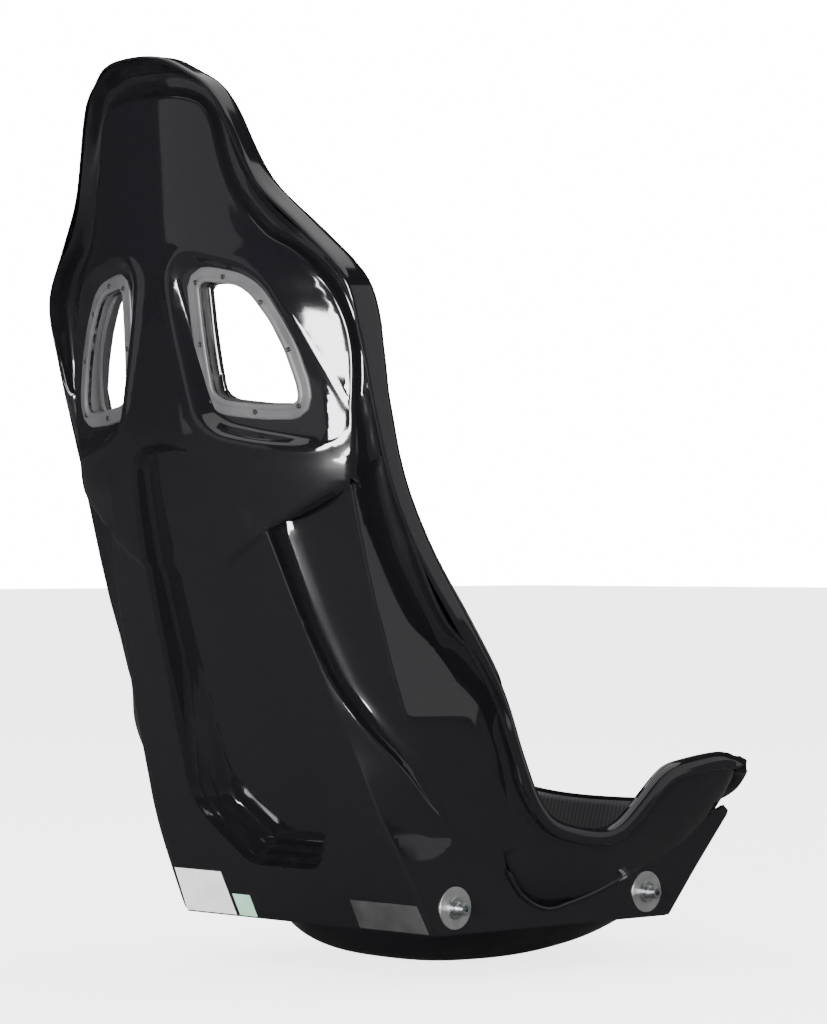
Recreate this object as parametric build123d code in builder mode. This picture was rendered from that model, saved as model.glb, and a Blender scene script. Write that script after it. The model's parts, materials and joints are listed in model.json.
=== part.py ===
from build123d import *
import math
import os

# Fixed-back racing seat: a moulded bucket inside a boxed rear shell, with bolt-in side mounts.
#
# Frame: millimetres, +Z up, -Y is the way the sitter faces, X across, with the seat's middle plane at X = 0.
# The origin is level with the bucket's lowest point, under the middle of the seat's overall length.
# The outlines below are drawn from the rear shell's bottom rear edge, and placed by place_x, _y and _z.

os.makedirs("parts", exist_ok=True)

# ---- driving dimensions ---------------------------------------------------------------------------------
back_height = 912.0  # bottom edge of the rear shell to the top of the head rim
shoulder_width = 500.0  # across the outer edges of the shoulder rim
base_width = 406.0  # across the flat sides where the seat bolts to its brackets
seat_reach = 476.0  # bottom rear edge of the rear shell to the front lip of the bucket
belly_drop = 51.0  # how far the rounded bucket hangs below the rear shell
bucket_wall = 4.0  # laminate of the bucket
shell_wall = 3.5  # laminate of the rear shell
joint_gap = 0.6  # glue line between bucket and rear shell

mount_spacing = 290.0  # front to rear bolt, both sides
mount_rear_y = -30.0  # rear bolt, ahead of the bottom rear edge
mount_height = 28.0  # bolt axis above the bottom edge of the rear shell
bolt_diameter = 8.0
bolt_clearance = 0.4  # added to the diameter of every hole that the bolt passes
bolt_head_diameter = 13.0
bolt_head_height = 8.0
hex_key_size = 6.0
hex_key_depth = 4.0
bolt_end_room = 1.0  # the bolt stops this far short of the plate's inner face
penny_washer_diameter = 45.0
penny_washer_thickness = 1.6
flat_washer_diameter = 23.0
flat_washer_thickness = 2.0
collar_diameter = 14.0
collar_length = 6.0
plate_diameter = 40.0
plate_thickness = 2.5
plate_boss_diameter = 16.0
plate_boss_length = 5.0

opening_height = 122.0  # harness window, clear height on the rear face
opening_top_width = 44.0
opening_bottom_width = 102.0
opening_centre_x = 118.0
opening_centre_z = 615.0
opening_splay = 14.2  # degrees that the window faces outwards
opening_lean = 5.4  # degrees that the window leans back
bezel_width = 16.0
bezel_thickness = 3.0
bezel_gap = 0.2  # between a bezel and the laminate behind it
bezel_screw_diameter = 3.0
bezel_screw_head = 5.5
bezel_screw_head_height = 1.2
bezel_screw_length = 20.0
bezel_screw_clearance = 0.3  # added to the diameter of every hole that a bezel screw passes
# where the bezel screws stand, as shares of the way round the bezel from its inner edge
bezel_screw_shares = (0.035, 0.175, 0.309, 0.443, 0.569, 0.703, 0.831, 0.955)

pocket_depth = 26.0  # long recess down the middle of the back
label_thickness = 0.3
label_gap = 0.05

# ---- shared proportions ---------------------------------------------------------------------------------
nominal_height = 912.0
nominal_half_shoulder = 250.0
nominal_half_base = 203.0
nominal_reach = 476.0
nominal_belly = 51.0
head_back = 230.0  # how far the head rim stands behind the bottom rear edge at the nominal height
height_scale = back_height / nominal_height
forward_shift = (seat_reach - head_back * height_scale) / 2  # centres the overall length on the origin
lift = belly_drop  # height of the rear shell's bottom edge in this frame
mount_places = {
    "rear": mount_rear_y + forward_shift,
    "front": mount_rear_y - mount_spacing + forward_shift,
}
mount_z = lift + mount_height
half_base = base_width / 2
half_shoulder = shoulder_width / 2


def place_z(z):
    """Height above (or below) the shell's bottom edge, scaled with the seat."""
    return lift + z * (height_scale if z > 0 else belly_drop / nominal_belly)


def place_y(y):
    """Fore and aft place, scaled with the seat's reach in front of the rear edge and its height behind."""
    return forward_shift + y * (seat_reach / nominal_reach if y < 0 else height_scale)


def place_x(x):
    """Half width, which follows the base at the bottom and the shoulders beyond the side panels."""
    inside = min(x, nominal_half_base) * half_base / nominal_half_base
    beyond = max(x - nominal_half_base, 0.0) / (nominal_half_shoulder - nominal_half_base)
    return inside + beyond * (half_shoulder - half_base)


def mirrored(points):
    """A half outline from the middle plane outwards, as the whole outline from side to side."""
    left = [(-x, *rest) for x, *rest in reversed(points)]
    return left + [point for point in points if point[0] > 0]


# ---- bucket (inner shell) -------------------------------------------------------------------------------
# Stations from the head, down the back and forward along the pan to the front lip: the middle of the
# bucket (y, z), the rim (half width, y, z), and how bowl-like the section is (0 dished, 1 upright walls).
bucket_stations = [
    ((230, 910), (66, 222, 898), 1.0),
    ((213, 872), (106, 206, 869), 0.4),
    ((203, 822), (125, 199, 822), 0.2),
    ((198, 770), (152, 186, 768), 0.1),
    ((195, 728), (194, 169, 725), 0.1),
    ((191, 680), (240, 152, 677), 0.1),
    ((185, 615), (250, 134, 612), 0.2),
    ((175, 545), (250, 115, 543), 0.3),
    ((157, 470), (250, 91, 468), 0.4),
    ((128, 390), (250, 51, 395), 0.5),
    ((92, 310), (247, -10, 318), 0.6),
    ((54, 230), (236, -66, 252), 0.6),
    ((18, 145), (231, -103, 180), 0.5),
    ((-8, 60), (230, -129, 132), 0.45),
    ((-26, 5), (230, -152, 115), 0.5),
    ((-65, -30), (230, -188, 106), 0.85),
    ((-125, -46), (231, -220, 101), 1.0),
    ((-195, -51), (232, -252, 106), 1.0),
    ((-270, -49), (233, -288, 134), 1.0),
    ((-340, -38), (234, -325, 165), 1.0),
    ((-400, -12), (234, -362, 172), 1.0),
    ((-438, 30), (232, -398, 176), 1.0),
    ((-458, 80), (229, -432, 177), 1.0),
    ((-470, 122), (224, -458, 170), 1.0),
]
wall_roundness = 2.1  # exponent of the upright sections: 2 is an ellipse, more is boxier
dish_power = 1.6  # the shallow sections rise from the middle as this power of the width
steps_across = 7  # flats from the middle to the rim
least_squareness = 0.45  # the wall is thinned, not folded, where a station leans over further than this
rim_overrun = 12.0  # the hollow runs this far out through the bucket's mouth


def section_profile(station):
    """Half section of the bucket in its own plane: (across, rise towards the rim line), middle to rim."""
    (middle_y, middle_z), (half, rim_y, rim_z), upright = station
    depth = math.hypot(place_y(rim_y) - place_y(middle_y), place_z(rim_z) - place_z(middle_z))
    profile = []
    for step in range(steps_across + 1):
        turn = step / steps_across * math.pi / 2
        across = math.sin(turn) ** (2 / wall_roundness)
        bowl = 1 - max(math.cos(turn), 0.0) ** (2 / wall_roundness)
        rise = (1 - upright) * across**dish_power + upright * bowl
        profile.append((place_x(half) * across, depth * rise))
    return profile


def squareness(index):
    """How square a station's plane is to the bucket's middle line: 1 square, less where it leans over."""
    (middle_y, middle_z), (_, rim_y, rim_z), _ = bucket_stations[index]
    before_y, before_z = bucket_stations[max(index - 1, 0)][0]
    after_y, after_z = bucket_stations[min(index + 1, len(bucket_stations) - 1)][0]
    normal = Vector(0, after_z - before_z, before_y - after_y).normalized()
    return max(Vector(0, rim_y - middle_y, rim_z - middle_z).normalized().dot(normal), least_squareness)


def drawn_in(profile, inset, square):
    """The half section moved in by inset square to the laminate, run out through the mouth at the rim."""
    moved = []
    for step, (across, rise) in enumerate(profile):
        before = profile[step - 1] if step else (-profile[1][0], profile[1][1])
        after = profile[min(step + 1, len(profile) - 1)]
        run, climb = after[0] - before[0], after[1] - before[1]
        length = math.hypot(run, climb)
        moved.append((across - inset * climb / length, rise + inset / square * run / length))
    across, rise = moved[-1]
    moved.append((across, rise + rim_overrun))
    return moved


def bucket_sections(inset):
    """Closed section outlines from head to front lip, each on the plane of its station."""
    sections = []
    for index, station in enumerate(bucket_stations):
        (middle_y, middle_z), (half, rim_y, rim_z), upright = station
        origin = Vector(0, place_y(middle_y), place_z(middle_z))
        towards_rim = Vector(0, place_y(rim_y), place_z(rim_z)) - origin
        plane = Plane(origin=origin, x_dir=(1, 0, 0), z_dir=Vector(1, 0, 0).cross(towards_rim))
        profile = section_profile(station)
        if inset:
            profile = drawn_in(profile, inset, squareness(index))
        with BuildSketch(plane) as section:
            with BuildLine():
                Polyline(*mirrored(profile), close=True)
            make_face()
        sections.append(section.sketch)
    return sections


with BuildPart() as inner_shell:
    loft(bucket_sections(0), ruled=True)
    loft(bucket_sections(bucket_wall), ruled=True, mode=Mode.SUBTRACT)

# The bucket filled solid and grown by the glue line, which the rear shell's pieces are cut back from.
with BuildPart() as bucket_room:
    loft(bucket_sections(-joint_gap), ruled=True)

# ---- rear shell (outer shell) ---------------------------------------------------------------------------
# Half outlines of the rear shell at rising heights: (height, middle, panel corner, side edge, rim).
# Each place is (half width, y), and the middle only needs its y.
shell_levels = [
    (0, 0, (199, 0), (203, -4), (203, -60)),
    (60, 29, (195, 29), (203, 18), (203, -60)),
    (100, 48.3, (190, 48.3), (205, 30), (206, -60)),
    (230, 105, (166, 99), (214, 57), (231, -70)),
    (330, 143, (147, 137), (217, 91), (249, 12)),
    (413, 172, (133, 166), (217, 116), (252, 62)),
    (470, 193, (150, 172), (219, 134), (252, 93)),
    (603, 209, (172, 176), (224, 139), (252, 130)),
    (660, 213, (150, 187), (209, 151), (249, 146)),
    (724, 216, (100, 204), (141, 187), (197, 169)),
    (768, 218, (80, 211), (108, 202), (154, 185)),
    (820, 220, (65, 216), (93, 209), (128, 198)),
    (861, 222, (50, 220), (75, 216), (110, 207)),
    (892, 224, (38, 223), (56, 220), (80, 216)),
]
front_y = -490.0  # the outlines run forward to here before the side profile trims them
# Side profile that trims the front of the rear shell: up the front edge, back along the seam under the
# hip bowl, and up behind the rim to the head.
side_profile = [
    (-356, 0), (-408, 48), (-482, 115), (-474, 127), (-441, 121), (-375, 88), (-311, 58), (-248, 33),
    (-202, 23), (-164, 19), (-130, 34), (-104, 64), (-86, 105), (-66, 166), (-58, 214), (-30, 262),
    (2, 300), (38, 350), (72, 410), (104, 470), (128, 540), (146, 610), (160, 670), (182, 725),
    (196, 768), (208, 822), (216, 866), (221, 900),
]
back_limit_y = 300.0
top_trim = 905.0


def level_outline(level, inset):
    """Closed outline of the rear shell at one height, drawn in by inset and left running out in front."""
    height, middle_y, (corner_x, corner_y), (side_x, side_y), (rim_x, rim_y) = level
    half = [
        (0, place_y(middle_y) - inset),
        (place_x(corner_x) - inset * 0.6, place_y(corner_y) - inset),
        (place_x(side_x) - inset, place_y(side_y) - inset * 0.6),
        (place_x(rim_x) - inset, place_y(rim_y)),
        (place_x(rim_x) - inset, place_y(front_y) - inset),
    ]
    return mirrored(half)


def level_sections(inset):
    """The level outlines as sketches, drawn in by inset; an inset stack also runs past both ends."""
    sections = []
    for level in shell_levels:
        drop = inset if level[0] in (shell_levels[0][0], shell_levels[-1][0]) else 0
        with BuildSketch(Plane.XY.offset(place_z(level[0]) - drop)) as section:
            with BuildLine():
                Polyline(*level_outline(level, inset), close=True)
            make_face()
        sections.append(section.sketch)
    return sections


with BuildPart() as shell_block:
    loft(level_sections(0), ruled=True)
with BuildPart() as shell_core:
    loft(level_sections(shell_wall), ruled=True)

# The window frame of the +X side: u runs outwards, v runs up, and the plane faces the sitter.
splay = math.radians(opening_splay)
lean = math.radians(opening_lean)
opening_centre_y = 180.0


def window_plane(depth):
    """Plane of the +X window, depth ahead of the face that the rear bezel stands on."""
    ahead = Vector(-math.sin(splay), -math.cos(splay), math.tan(lean)).normalized()
    outwards = Vector(math.cos(splay), -math.sin(splay), 0)
    centre = Vector(opening_centre_x, place_y(opening_centre_y), place_z(opening_centre_z))
    return Plane(origin=centre + ahead * depth, x_dir=outwards, z_dir=ahead)


def window_outline(depth, corners, belly, corner_radius, margin=0.0):
    """Four-cornered outline on the window plane with a bowed outer edge.

    corners run inner top, inner bottom, outer bottom, outer top, and belly is on the bowed edge.
    """
    inner_top, inner_bottom, outer_bottom, outer_top = corners
    with BuildSketch(window_plane(depth)) as outline:
        with BuildLine():
            Line(inner_top, inner_bottom)
            Line(inner_bottom, outer_bottom)
            ThreePointArc(outer_bottom, belly, outer_top)
            Line(outer_top, inner_top)
        make_face()
        fillet(outline.vertices(), radius=corner_radius)
        if margin:
            offset(amount=margin, kind=Kind.ARC, mode=Mode.REPLACE)
    return outline.sketch


half_height = opening_height / 2
inner_top_u = -57.0
inner_bottom_u = -47.0
opening_corners = (
    (inner_top_u, half_height),
    (inner_bottom_u, -half_height),
    (inner_bottom_u + opening_bottom_width, -half_height - 4),
    (inner_top_u + opening_top_width, half_height),
)
opening_belly = (inner_bottom_u + opening_bottom_width - 15, -half_height * 0.1)
opening_corner_radius = 10.0
recess_corners = (
    (opening_corners[0][0] - 38, half_height + 35),
    (opening_corners[1][0] - 20, -half_height - 36),
    (opening_corners[2][0] + 55, -half_height - 50),
    (opening_corners[3][0] + 12, half_height + 24),
)
recess_belly = (opening_belly[0] + 27, opening_belly[1] + 12)
recess_corner_radius = 24.0
far = 90.0  # longer than anything that a window cut has to pass


def opening_at(depth, margin=0.0):
    """The clear opening of the +X window at some depth, grown by margin."""
    return window_outline(depth, opening_corners, opening_belly, opening_corner_radius, margin)


def recess_at(depth, margin=0.0):
    """The recess round the +X window at some depth, grown by margin."""
    return window_outline(depth, recess_corners, recess_belly, recess_corner_radius, margin)


# The long recess down the middle of the back, drawn from behind, and the slope of its floor.
pocket_outline = [(54, 64), (116, 136), (88, 265), (70, 385), (54, 494), (40, 512)]
floor_bottom = (48, 64)  # (y, z) of the panel face behind the floor's lower end
floor_top = (196, 512)


def pocket_sketch(margin):
    """Outline of the middle pocket on an upright plane behind the seat."""
    outline = [(place_x(x), place_z(z)) for x, z in pocket_outline]
    with BuildSketch(Plane.XZ.offset(-place_y(back_limit_y))) as sketch:
        with BuildLine():
            Polyline(*mirrored(outline), close=True)
        make_face()
        if margin:
            offset(amount=margin, kind=Kind.INTERSECTION, mode=Mode.REPLACE)
    return sketch.sketch


def behind_floor(depth):
    """Side outline of everything behind a line that runs depth ahead of the pocket's panel face."""
    low_y, low_z = place_y(floor_bottom[0]) - depth, place_z(floor_bottom[1])
    high_y, high_z = place_y(floor_top[0]) - depth, place_z(floor_top[1])
    lean_rate = (high_y - low_y) / (high_z - low_z)
    with BuildSketch(Plane.YZ.offset(-half_shoulder)) as sketch:
        with BuildLine():
            Polyline(
                (low_y - lean_rate * low_z, 0),
                (high_y + lean_rate * high_z, high_z * 2),
                (place_y(back_limit_y) * 2, high_z * 2),
                (place_y(back_limit_y) * 2, 0),
                close=True,
            )
        make_face()
    return sketch.sketch


with BuildPart() as pocket_block:
    extrude(pocket_sketch(shell_wall), amount=place_y(back_limit_y) * 2)
    extrude(behind_floor(pocket_depth + shell_wall), amount=half_shoulder * 2, mode=Mode.INTERSECT)

with BuildPart() as pocket_space:
    extrude(pocket_sketch(0), amount=place_y(back_limit_y) * 2)
    extrude(behind_floor(pocket_depth), amount=half_shoulder * 2, mode=Mode.INTERSECT)

# A window well is a solid plug behind the ledge before its recess is cut out of it.
with BuildPart() as well_blocks:
    extrude(recess_at(shell_wall, shell_wall), amount=-far)
    mirror(about=Plane.YZ)

with BuildPart() as well_spaces:
    extrude(recess_at(0), amount=-far)
    mirror(about=Plane.YZ)

with BuildPart() as opening_cores:
    extrude(opening_at(far), amount=-far * 2)
    mirror(about=Plane.YZ)

# Screw places run round the middle of the bezel.
bezel_line = opening_at(0, bezel_width / 2).wires()[0]
screw_spots = [bezel_line.position_at(share) for share in bezel_screw_shares]


def screw_rods(radius, first_depth, last_depth):
    """A round rod at each screw place of the +X bezel, between two depths."""
    plane = window_plane(first_depth)
    locals_2d = [window_plane(0).to_local_coords(spot) for spot in screw_spots]
    with BuildSketch(plane) as dots:
        with Locations(*[(spot.X, spot.Y) for spot in locals_2d]):
            Circle(radius)
    return extrude(dots.sketch, amount=last_depth - first_depth)


with BuildPart() as screw_holes:
    screw_rods((bezel_screw_diameter + bezel_screw_clearance) / 2, -bezel_thickness * 2, far / 2)
    mirror(about=Plane.YZ)

with BuildPart() as inserts:
    add(well_blocks.part)
    add(pocket_block.part)
    add(shell_block.part, mode=Mode.INTERSECT)

with BuildPart() as outer_shell:
    add(shell_block.part)
    add(shell_core.part, mode=Mode.SUBTRACT)
    add(inserts.part)
    add(well_spaces.part, mode=Mode.SUBTRACT)
    add(pocket_space.part, mode=Mode.SUBTRACT)
    with BuildSketch(Plane.YZ.offset(-half_shoulder * 2)):
        with BuildLine():
            Polyline(
                *[(place_y(y), place_z(z)) for y, z in side_profile],
                (place_y(back_limit_y), place_z(top_trim)),
                (place_y(back_limit_y), place_z(0)),
                close=True,
            )
        make_face()
    extrude(amount=half_shoulder * 4, mode=Mode.INTERSECT)
    add(bucket_room.part, mode=Mode.SUBTRACT)
    add(opening_cores.part, mode=Mode.SUBTRACT)
    add(screw_holes.part, mode=Mode.SUBTRACT)
    for side in (1, -1):
        for bolt_y in mount_places.values():
            with Locations(Location((side * half_base, bolt_y, mount_z), (0, 90, 0))):
                Cylinder((bolt_diameter + bolt_clearance) / 2, shell_wall * 4, mode=Mode.SUBTRACT)

with BuildPart() as bucket_with_openings:
    add(inner_shell.part)
    add(opening_cores.part, mode=Mode.SUBTRACT)
    add(screw_holes.part, mode=Mode.SUBTRACT)


def finish(builder, name):
    """Label a finished sub-part and write it out."""
    builder.part.label = name
    export_step(builder.part, f"parts/{name}.step")


finish(outer_shell, "outer_shell")
finish(bucket_with_openings, "inner_shell")

# ---- harness window bezels and their screws -------------------------------------------------------------
with BuildPart() as rear_bezel:
    extrude(opening_at(-bezel_gap, bezel_width), amount=-bezel_thickness)
    add(opening_cores.part, mode=Mode.SUBTRACT)
    add(screw_holes.part, mode=Mode.SUBTRACT)
    fillet(rear_bezel.faces().sort_by(Axis.Y)[-1].outer_wire().edges(), radius=bezel_thickness * 0.3)

# The front bezel follows the inside of the bucket.
with BuildPart() as front_bezel:
    extrude(opening_at(-far / 2, bezel_width), amount=far)
    loft(bucket_sections(bucket_wall + bezel_gap), ruled=True, mode=Mode.INTERSECT)
    loft(bucket_sections(bucket_wall + bezel_gap + bezel_thickness), ruled=True, mode=Mode.SUBTRACT)
    add(opening_cores.part, mode=Mode.SUBTRACT)
    add(screw_holes.part, mode=Mode.SUBTRACT)

with BuildPart() as bezel_screws:
    bezel_face = -bezel_gap - bezel_thickness
    screw_rods(bezel_screw_head / 2, bezel_face - bezel_screw_head_height, bezel_face)
    screw_rods(bezel_screw_diameter / 2, bezel_face, bezel_screw_length - bezel_thickness)

window_pieces = {"rear_bezel": rear_bezel, "front_bezel": front_bezel, "bezel_screws": bezel_screws}
for side_name, about in (("left", None), ("right", Plane.YZ)):
    for name, source in window_pieces.items():
        with BuildPart() as piece:
            add(source.part if about is None else source.part.mirror(about))
        finish(piece, f"{name}_{side_name}")

# ---- side mounts ----------------------------------------------------------------------------------------
bolt_hole_radius = (bolt_diameter + bolt_clearance) / 2
penny_face = half_base + penny_washer_thickness
washer_face = penny_face + flat_washer_thickness
collar_face = washer_face + collar_length
plate_face = half_base - shell_wall
plate_back = plate_face - plate_thickness - plate_boss_length


def disc(start_x, end_x, radius, bore=bolt_hole_radius):
    """A round plate across X on the bolt's axis, between two half widths of the +X side, with a bore."""
    with BuildSketch(Plane.YZ.offset(start_x)) as ring:
        Circle(radius)
        if bore:
            Circle(bore, mode=Mode.SUBTRACT)
    return extrude(ring.sketch, amount=end_x - start_x)


with BuildPart() as mount_insert:
    disc(plate_face - plate_thickness, plate_face, plate_diameter / 2)
    disc(plate_back, plate_face - plate_thickness, plate_boss_diameter / 2)

with BuildPart() as penny_washer:
    disc(half_base, penny_face, penny_washer_diameter / 2)
    fillet(penny_washer.faces().sort_by(Axis.X)[-1].outer_wire().edges(), radius=penny_washer_thickness * 0.3)

with BuildPart() as flat_washer:
    disc(penny_face, washer_face, flat_washer_diameter / 2)
    chamfer(flat_washer.faces().sort_by(Axis.X)[-1].outer_wire().edges(), length=flat_washer_thickness * 0.2)

with BuildPart() as spacer_collar:
    disc(washer_face, collar_face, collar_diameter / 2)
    chamfer(spacer_collar.faces().sort_by(Axis.X)[-1].outer_wire().edges(), length=0.5)

with BuildPart() as cap_screw:
    disc(plate_back + bolt_end_room, collar_face, bolt_diameter / 2, bore=0)
    disc(collar_face, collar_face + bolt_head_height, bolt_head_diameter / 2, bore=0)
    fillet(cap_screw.faces().sort_by(Axis.X)[-1].edges(), radius=0.8)
    with BuildSketch(Plane.YZ.offset(collar_face + bolt_head_height)):
        RegularPolygon(hex_key_size / 2, 6, major_radius=False)
    extrude(amount=-hex_key_depth, mode=Mode.SUBTRACT)

mount_pieces = {
    "mount_insert": mount_insert,
    "penny_washer": penny_washer,
    "flat_washer": flat_washer,
    "spacer_collar": spacer_collar,
    "cap_screw": cap_screw,
}
for place_name, bolt_y in mount_places.items():
    for side_name, about in (("left", None), ("right", Plane.YZ)):
        for name, source in mount_pieces.items():
            placed = source.part.moved(Location((0, bolt_y, mount_z)))
            with BuildPart() as piece:
                add(placed if about is None else placed.mirror(about))
            finish(piece, f"{name}_{place_name}_{side_name}")

# ---- labels ---------------------------------------------------------------------------------------------
# Thin blank stickers on the flat lower part of the back: u runs towards -X and v up the slope.
panel_rise = place_z(shell_levels[1][0]) - place_z(0)
panel_run = place_y(shell_levels[1][1]) - place_y(0)
back_normal = Vector(0, panel_rise, -panel_run).normalized()
back_plane = Plane(origin=(0, place_y(0), place_z(0)), x_dir=(-1, 0, 0), z_dir=back_normal).offset(label_gap)
label_foot = 2.0  # clear strip under every label
labels = {
    # name: (outer edge at the foot, outer edge at the top, inner edge, height)
    "label_white": (-base_width / 2 + 6, -base_width / 2 + 12, -112, 54),
    "label_green": (-106, -106, -77, 27),
    "label_dark": (base_width / 2 - 6, base_width / 2 - 9, 90, 34),
}
for name, (outer_foot, outer_top, inner, height) in labels.items():
    with BuildPart() as label:
        with BuildSketch(back_plane):
            with BuildLine():
                Polyline(
                    (outer_foot, label_foot),
                    (outer_top, label_foot + height),
                    (inner, label_foot + height),
                    (inner, label_foot),
                    close=True,
                )
            make_face()
        extrude(amount=label_thickness)
    finish(label, name)
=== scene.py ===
import json
import math
import bmesh
import bpy
import numpy as np
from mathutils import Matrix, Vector
from mathutils.geometry import delaunay_2d_cdt

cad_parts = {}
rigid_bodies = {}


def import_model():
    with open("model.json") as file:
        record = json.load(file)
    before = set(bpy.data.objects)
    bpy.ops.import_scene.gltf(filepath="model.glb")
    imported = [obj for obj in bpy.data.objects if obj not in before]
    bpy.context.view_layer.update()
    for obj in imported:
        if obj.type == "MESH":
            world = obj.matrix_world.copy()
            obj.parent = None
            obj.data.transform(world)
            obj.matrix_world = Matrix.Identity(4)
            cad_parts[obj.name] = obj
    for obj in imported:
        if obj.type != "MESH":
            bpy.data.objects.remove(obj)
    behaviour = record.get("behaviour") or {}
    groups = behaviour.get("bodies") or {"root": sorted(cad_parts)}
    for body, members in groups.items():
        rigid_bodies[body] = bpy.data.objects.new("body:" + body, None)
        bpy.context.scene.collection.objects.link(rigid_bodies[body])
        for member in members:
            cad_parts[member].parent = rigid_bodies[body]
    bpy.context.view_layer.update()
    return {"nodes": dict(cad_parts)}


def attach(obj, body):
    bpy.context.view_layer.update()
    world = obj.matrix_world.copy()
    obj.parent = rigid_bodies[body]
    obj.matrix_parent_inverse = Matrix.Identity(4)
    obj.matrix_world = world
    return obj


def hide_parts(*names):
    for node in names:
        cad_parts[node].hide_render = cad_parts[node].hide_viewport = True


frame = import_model()

# ---- Gelcoat and laminate finishes ---------------------------------------------------------------------
# The seat is moulded: a polished black gelcoat outside, and bare carbon twill under clear resin inside.
# The gelcoat gets the faint waviness, handling smudges and dust that every large glossy moulding has.


def new_group(name, inputs, outputs):
    """An empty shader node group with named inputs (name, type, default) and outputs (name, type)."""
    group = bpy.data.node_groups.new(name, "ShaderNodeTree")
    for socket_name, kind, default in inputs:
        socket = group.interface.new_socket(socket_name, in_out="INPUT", socket_type=kind)
        if default is not None:
            socket.default_value = default
    for socket_name, kind in outputs:
        group.interface.new_socket(socket_name, in_out="OUTPUT", socket_type=kind)
    return group, group.nodes.new("NodeGroupInput"), group.nodes.new("NodeGroupOutput")


class Wiring:
    """Short ways to add and join nodes in one tree."""

    def __init__(self, tree):
        self.tree = tree

    def node(self, kind, settings=None, **inputs):
        made = self.tree.nodes.new(kind)
        for name, value in (settings or {}).items():
            setattr(made, name, value)
        for name, value in inputs.items():
            self.join(
                value,
                made.inputs[
                    int(name[1:]) if name[0] == "i" and name[1:].isdigit() else name.replace("_", " ")
                ]
            )
        return made

    def join(self, value, socket):
        if isinstance(value, bpy.types.NodeSocket):
            self.tree.links.new(value, socket)
        else:
            socket.default_value = value

    def math(self, operation, a, b=0.0):
        return self.node("ShaderNodeMath", {"operation": operation}, i0=a, i1=b).outputs[0]

    def noise(self, vector, scale, detail=2.0, rough=0.5):
        return self.node(
            "ShaderNodeTexNoise", None, Vector=vector, Scale=scale, Detail=detail, Roughness=rough
        ).outputs["Fac"]

    def remap(self, value, low, high, to_low, to_high):
        return self.node(
            "ShaderNodeMapRange", None, Value=value, From_Min=low, From_Max=high, To_Min=to_low,
            To_Max=to_high
        ).outputs["Result"]

    def mix(self, factor, a, b):
        made = self.tree.nodes.new("ShaderNodeMix")
        made.data_type = "RGBA"
        self.join(factor, made.inputs["Factor"])
        self.join(a, made.inputs[6])
        self.join(b, made.inputs[7])
        return made.outputs[2]


handling, g_in, g_out = new_group(
    "handling_wear",
    [("Vector", "NodeSocketVector", None), ("Scale", "NodeSocketFloat", 8.0)],
    [("Smudge", "NodeSocketFloat"), ("Wave", "NodeSocketFloat"), ("Specks", "NodeSocketFloat")],
)
w = Wiring(handling)
vector, scale = g_in.outputs["Vector"], g_in.outputs["Scale"]
w.join(w.remap(w.noise(vector, scale, 4.0, 0.6), 0.42, 0.72, 0.0, 1.0), g_out.inputs["Smudge"])
w.join(w.noise(vector, w.math("MULTIPLY", scale, 2.2), 1.0, 0.4), g_out.inputs["Wave"])
w.join(
    w.remap(w.noise(vector, w.math("MULTIPLY", scale, 90.0), 1.0), 0.74, 0.82, 0.0, 1.0),
    g_out.inputs["Specks"]
)


def new_material(name):
    """A material with its Principled shader, wiring and object coordinates."""
    material = bpy.data.materials.new(name)
    material.use_nodes = True
    wiring = Wiring(material.node_tree)
    shader = material.node_tree.nodes["Principled BSDF"]
    place = wiring.node("ShaderNodeTexCoord").outputs["Object"]
    return material, wiring, shader, place


gelcoat, w, shader, place = new_material("polished_black_gelcoat")
wear = w.node("ShaderNodeGroup", {"node_tree": handling}, Vector=place, Scale=7.0)
w.join(
    w.mix(wear.outputs["Specks"], (0.0045, 0.0045, 0.0055, 1), (0.020, 0.019, 0.018, 1)),
    shader.inputs["Base Color"]
)
w.join(w.remap(wear.outputs["Smudge"], 0.0, 1.0, 0.055, 0.11), shader.inputs["Roughness"])
shader.inputs["IOR"].default_value = 1.52
shader.inputs["Coat Weight"].default_value = 0.15
shader.inputs["Coat Roughness"].default_value = 0.03
bump = w.node("ShaderNodeBump", None, Strength=0.05, Distance=0.002, Height=wear.outputs["Wave"])
w.join(bump.outputs["Normal"], shader.inputs["Normal"])

carbon, w, shader, place = new_material("carbon_twill_under_resin")
tow_width = 0.0022
uv = w.node("ShaderNodeUVMap", {"uv_map": "cloth"}).outputs["UV"]
apart = w.node("ShaderNodeSeparateXYZ", None, Vector=uv)
column = w.math("DIVIDE", apart.outputs["X"], tow_width)
row = w.math("DIVIDE", apart.outputs["Y"], tow_width)
step = w.math(
    "MODULO", w.math("ADD", w.math("SUBTRACT", w.math("FLOOR", column), w.math("FLOOR", row)), 4000.0),
    4.0
)
warp_on_top = w.math("LESS_THAN", step, 1.5)
across_warp = w.math("ABSOLUTE", w.math("SUBTRACT", w.math("FRACT", column), 0.5))
across_weft = w.math("ABSOLUTE", w.math("SUBTRACT", w.math("FRACT", row), 0.5))
crown = w.node("ShaderNodeMix", None, Factor=warp_on_top)
w.join(across_weft, crown.inputs[2])
w.join(across_warp, crown.inputs[3])
tow_height = w.math(
    "SUBTRACT", 1.0, w.math("MULTIPLY", w.math("MULTIPLY", crown.outputs[0], crown.outputs[0]), 3.2)
)
filament = w.noise(
    w.node("ShaderNodeMapping", None, Vector=uv, Scale=(3000.0, 3000.0, 1.0)).outputs["Vector"], 1.0,
    2.0
)
shade = w.mix(warp_on_top, (0.012, 0.012, 0.014, 1), (0.040, 0.040, 0.044, 1))
w.join(
    w.mix(w.math("MULTIPLY", filament, 0.35), shade, (0.075, 0.075, 0.08, 1)),
    shader.inputs["Base Color"]
)
w.join(w.remap(warp_on_top, 0.0, 1.0, 0.30, 0.42), shader.inputs["Roughness"])
shader.inputs["Coat Weight"].default_value = 0.8
shader.inputs["Coat Roughness"].default_value = 0.12
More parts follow.
